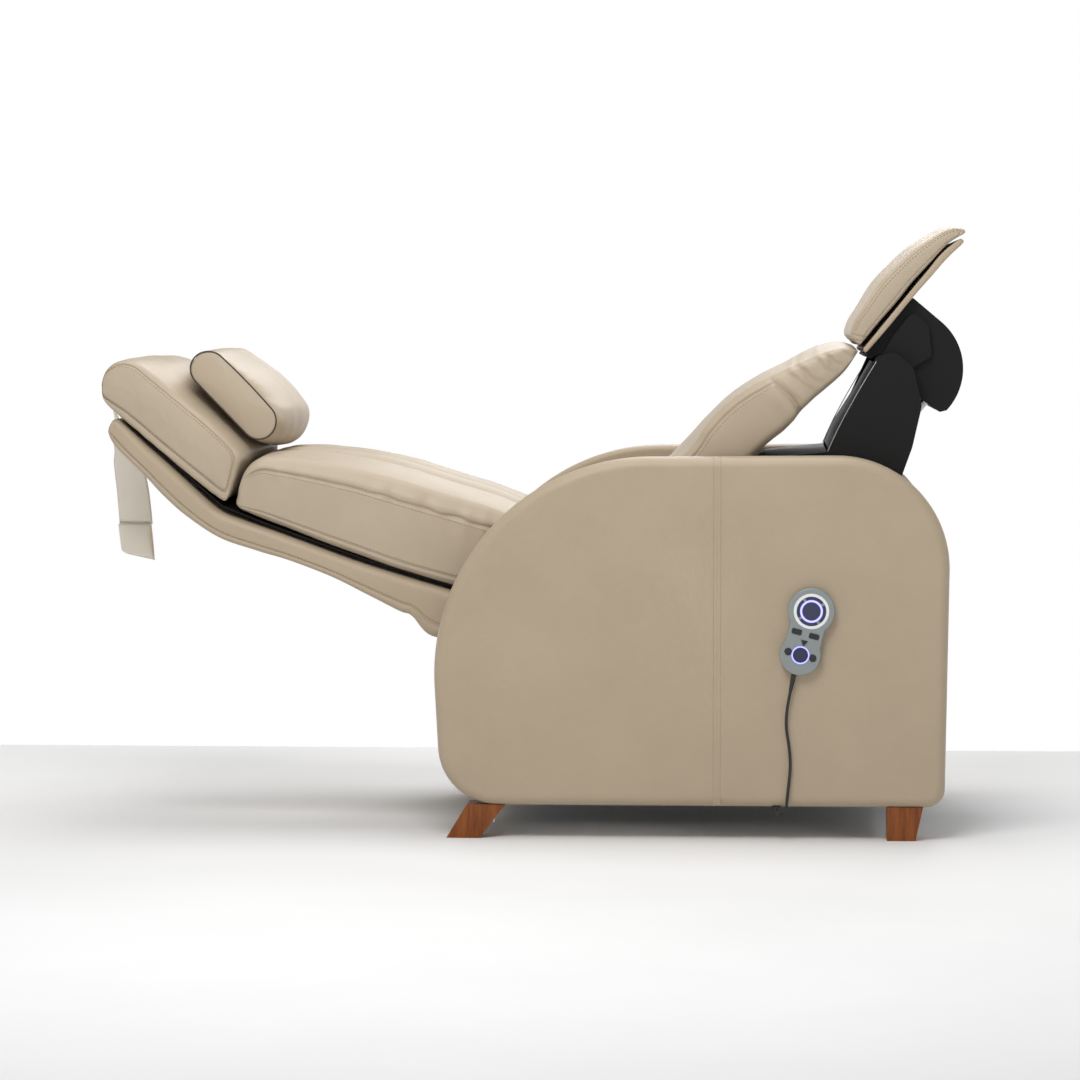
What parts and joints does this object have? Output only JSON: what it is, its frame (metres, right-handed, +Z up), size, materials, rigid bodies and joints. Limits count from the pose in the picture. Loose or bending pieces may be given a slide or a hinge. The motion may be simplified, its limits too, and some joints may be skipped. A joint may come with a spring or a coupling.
{
  "type": "massage chair",
  "caption": "Leather massage recliner, fully reclined, with tilting seat, raised leg rest, padded back with head pillow, wooden feet and a corded handset on its side.",
  "frame": {"origin": "on the floor, under the middle of the object", "axes": "+Z up, +X towards the leg rest, the handset is on the -Y side"},
  "size_m": [1.5715, 0.7777, 1.0821],
  "materials": {
    "leather": "satin",
    "pad_leather": "satin",
    "liner": "matt",
    "wood": "satin",
    "plywood": "matt",
    "black_plastic": "matt",
    "black_steel": "satin",
    "zinc_steel": "satin",
    "handset_grey": "satin",
    "handset_dark": "satin",
    "button_navy": "gloss",
    "ring_white": "gloss",
    "ring_lit": "gloss",
    "board_green": "satin",
    "roller": "satin",
    "cord_black": "matt",
    "strap_web": "matt"
  },
  "bodies": {
    "base": {"side_panel_near": "leather", "side_panel_far": "leather", "side_boards": "plywood", "feet": "wood", "foot_bolts": "zinc_steel", "base_frame": "black_steel", "control_box": "black_plastic", "power_inlet": "black_plastic", "cradle_pins": "zinc_steel", "handset_patch": "liner", "handset_back_case": "handset_grey", "handset_front_case": "handset_grey", "handset_board": "board_green", "dial_ring": "ring_white", "lit_rings": "ring_lit", "strain_relief": "cord_black", "handset_cord": "cord_black", "cord_grommet": "cord_black"},
    "seat": {"seat_side_plates": "black_steel", "seat_cross_tubes": "black_steel", "seat_pan": "black_plastic", "seat_cushion": "pad_leather", "knee_fascia": "black_plastic", "riser_cheeks": "black_plastic"},
    "back": {"back_hinge_plates": "black_steel", "back_frame": "black_steel", "back_shell": "leather", "back_liner": "liner", "back_pad_lower": "pad_leather", "back_pad_upper": "pad_leather", "massage_guides": "zinc_steel"},
    "ottoman": {"ottoman_casing": "black_plastic", "ottoman_hinge_plates": "black_steel", "ottoman_board": "leather", "leg_pad": "pad_leather", "vibration_motors": "zinc_steel"},
    "carriage": {"massage_carriage": "black_steel"},
    "kneader": {"kneading_arms": "zinc_steel"},
    "rollers_head": {"massage_rollers_head": "roller"},
    "rollers_hip": {"massage_rollers_hip": "roller"},
    "pillow": {"head_pillow": "pad_leather"},
    "counterweight": {"counterweight": "strap_web", "counterweight_strap": "strap_web"},
    "seat_actuator": {"seat_actuator_cylinder": "black_plastic"},
    "seat_actuator_rod": {"seat_actuator_rod": "zinc_steel"},
    "back_actuator": {"back_actuator_cylinder": "black_plastic"},
    "back_actuator_rod": {"back_actuator_rod": "zinc_steel"},
    "leg_actuator": {"leg_actuator_cylinder": "black_plastic"},
    "leg_actuator_rod": {"leg_actuator_rod": "zinc_steel"},
    "button_centre": {"button_centre": "button_navy"},
    "button_lower": {"button_lower": "button_navy"},
    "button_oblong_left": {"button_oblong_left": "handset_dark"},
    "button_oblong_right": {"button_oblong_right": "handset_dark"},
    "button_triangle": {"button_triangle": "handset_dark"},
    "button_small_left": {"button_small_left": "handset_dark"},
    "button_small_right": {"button_small_right": "handset_dark"},
    "button_dial_up": {"button_dial_up": "button_navy"},
    "button_dial_down": {"button_dial_down": "button_navy"},
    "button_dial_left": {"button_dial_left": "button_navy"},
    "button_dial_right": {"button_dial_right": "button_navy"}
  },
  "joints": [
    {"name": "seat_tilt", "type": "hinge", "parent": "base", "child": "seat", "pos_m": [0.138, 0, 0.538], "axis": [0, 1, 0], "range_deg": [0, 35]},
    {"name": "back_recline", "type": "hinge", "parent": "seat", "child": "back", "pos_m": [0.138, 0, 0.538], "axis": [0, 1, 0], "range_deg": [0, 20]},
    {"name": "ottoman_fold", "type": "hinge", "parent": "seat", "child": "ottoman", "pos_m": [0.639, 0, 0.821], "axis": [0, 1, 0], "range_deg": [0, 90]},
    {"name": "pillow_slide", "type": "slide", "parent": "back", "child": "pillow", "axis": [-0.6957, 0, 0.7184], "range_m": [0, 0.06]},
    {"name": "counterweight_drop", "type": "slide", "parent": "back", "child": "counterweight", "axis": [0, 0, -1], "range_m": [0, 0.06]},
    {"name": "carriage_travel", "type": "slide", "parent": "back", "child": "carriage", "axis": [-0.9537, 0, 0.3007], "range_m": [-0.03, 0.27]},
    {"name": "kneading_rock", "type": "hinge", "parent": "carriage", "child": "kneader", "pos_m": [-0.04362, 0, 0.47442], "axis": [0, 1, 0], "range_deg": [-8, 8]},
    {"name": "roller_head_spin", "type": "hinge", "parent": "kneader", "child": "rollers_head", "pos_m": [-0.07223, 0, 0.48344], "axis": [0, 1, 0], "continuous": true},
    {"name": "roller_hip_spin", "type": "hinge", "parent": "kneader", "child": "rollers_hip", "pos_m": [-0.015, 0, 0.4654], "axis": [0, 1, 0], "continuous": true},
    {"name": "seat_actuator_swing", "type": "hinge", "parent": "base", "child": "seat_actuator", "pos_m": [-0.01, 0, 0.155], "axis": [0, 1, 0], "range_deg": [0, 15.46]},
    {"name": "seat_actuator_stroke", "type": "slide", "parent": "seat_actuator", "child": "seat_actuator_rod", "axis": [0.7849, 0, 0.6196], "range_m": [-0.15578, 0]},
    {"name": "back_actuator_swing", "type": "hinge", "parent": "seat", "child": "back_actuator", "pos_m": [0.35, 0, 0.3], "axis": [0, 1, 0], "range_deg": [0, 12.19]},
    {"name": "back_actuator_stroke", "type": "slide", "parent": "back_actuator", "child": "back_actuator_rod", "axis": [-0.9923, 0, -0.124], "range_m": [0, 0.0847]},
    {"name": "leg_actuator_swing", "type": "hinge", "parent": "seat", "child": "leg_actuator", "pos_m": [0.39, 0, 0.38], "axis": [0, 1, 0], "range_deg": [-8.43, 0]},
    {"name": "leg_actuator_stroke", "type": "slide", "parent": "leg_actuator", "child": "leg_actuator_rod", "axis": [0.6446, 0, 0.7645], "range_m": [-0.12446, 0]},
    {"name": "button_centre_press", "type": "slide", "parent": "base", "child": "button_centre", "axis": [0, 1, 0], "range_m": [0, 0.001], "stiffness_N_per_m": 400},
    {"name": "button_lower_press", "type": "slide", "parent": "base", "child": "button_lower", "axis": [0, 1, 0], "range_m": [0, 0.001], "stiffness_N_per_m": 400},
    {"name": "button_oblong_left_press", "type": "slide", "parent": "base", "child": "button_oblong_left", "axis": [0, 1, 0], "range_m": [0, 0.001], "stiffness_N_per_m": 400},
    {"name": "button_oblong_right_press", "type": "slide", "parent": "base", "child": "button_oblong_right", "axis": [0, 1, 0], "range_m": [0, 0.001], "stiffness_N_per_m": 400},
    {"name": "button_triangle_press", "type": "slide", "parent": "base", "child": "button_triangle", "axis": [0, 1, 0], "range_m": [0, 0.001], "stiffness_N_per_m": 400},
    {"name": "button_small_left_press", "type": "slide", "parent": "base", "child": "button_small_left", "axis": [0, 1, 0], "range_m": [0, 0.001], "stiffness_N_per_m": 400},
    {"name": "button_small_right_press", "type": "slide", "parent": "base", "child": "button_small_right", "axis": [0, 1, 0], "range_m": [0, 0.001], "stiffness_N_per_m": 400},
    {"name": "button_dial_up_press", "type": "slide", "parent": "base", "child": "button_dial_up", "axis": [0, 1, 0], "range_m": [0, 0.001], "stiffness_N_per_m": 400},
    {"name": "button_dial_down_press", "type": "slide", "parent": "base", "child": "button_dial_down", "axis": [0, 1, 0], "range_m": [0, 0.001], "stiffness_N_per_m": 400},
    {"name": "button_dial_left_press", "type": "slide", "parent": "base", "child": "button_dial_left", "axis": [0, 1, 0], "range_m": [0, 0.001], "stiffness_N_per_m": 400},
    {"name": "button_dial_right_press", "type": "slide", "parent": "base", "child": "button_dial_right", "axis": [0, 1, 0], "range_m": [0, 0.001], "stiffness_N_per_m": 400}
  ],
  "couplings": [
    {"joint": "counterweight_drop", "follows": "pillow_slide", "ratio": 1},
    {"joint": "seat_actuator_swing", "follows": "seat_tilt", "ratio": 0.4402},
    {"joint": "seat_actuator_stroke", "follows": "seat_tilt", "m_per_rad": -0.25419},
    {"joint": "back_actuator_swing", "follows": "back_recline", "ratio": 0.60693},
    {"joint": "back_actuator_stroke", "follows": "back_recline", "m_per_rad": 0.24121},
    {"joint": "leg_actuator_swing", "follows": "ottoman_fold", "ratio": -0.093091},
    {"joint": "leg_actuator_stroke", "follows": "ottoman_fold", "m_per_rad": -0.078912}
  ]
}
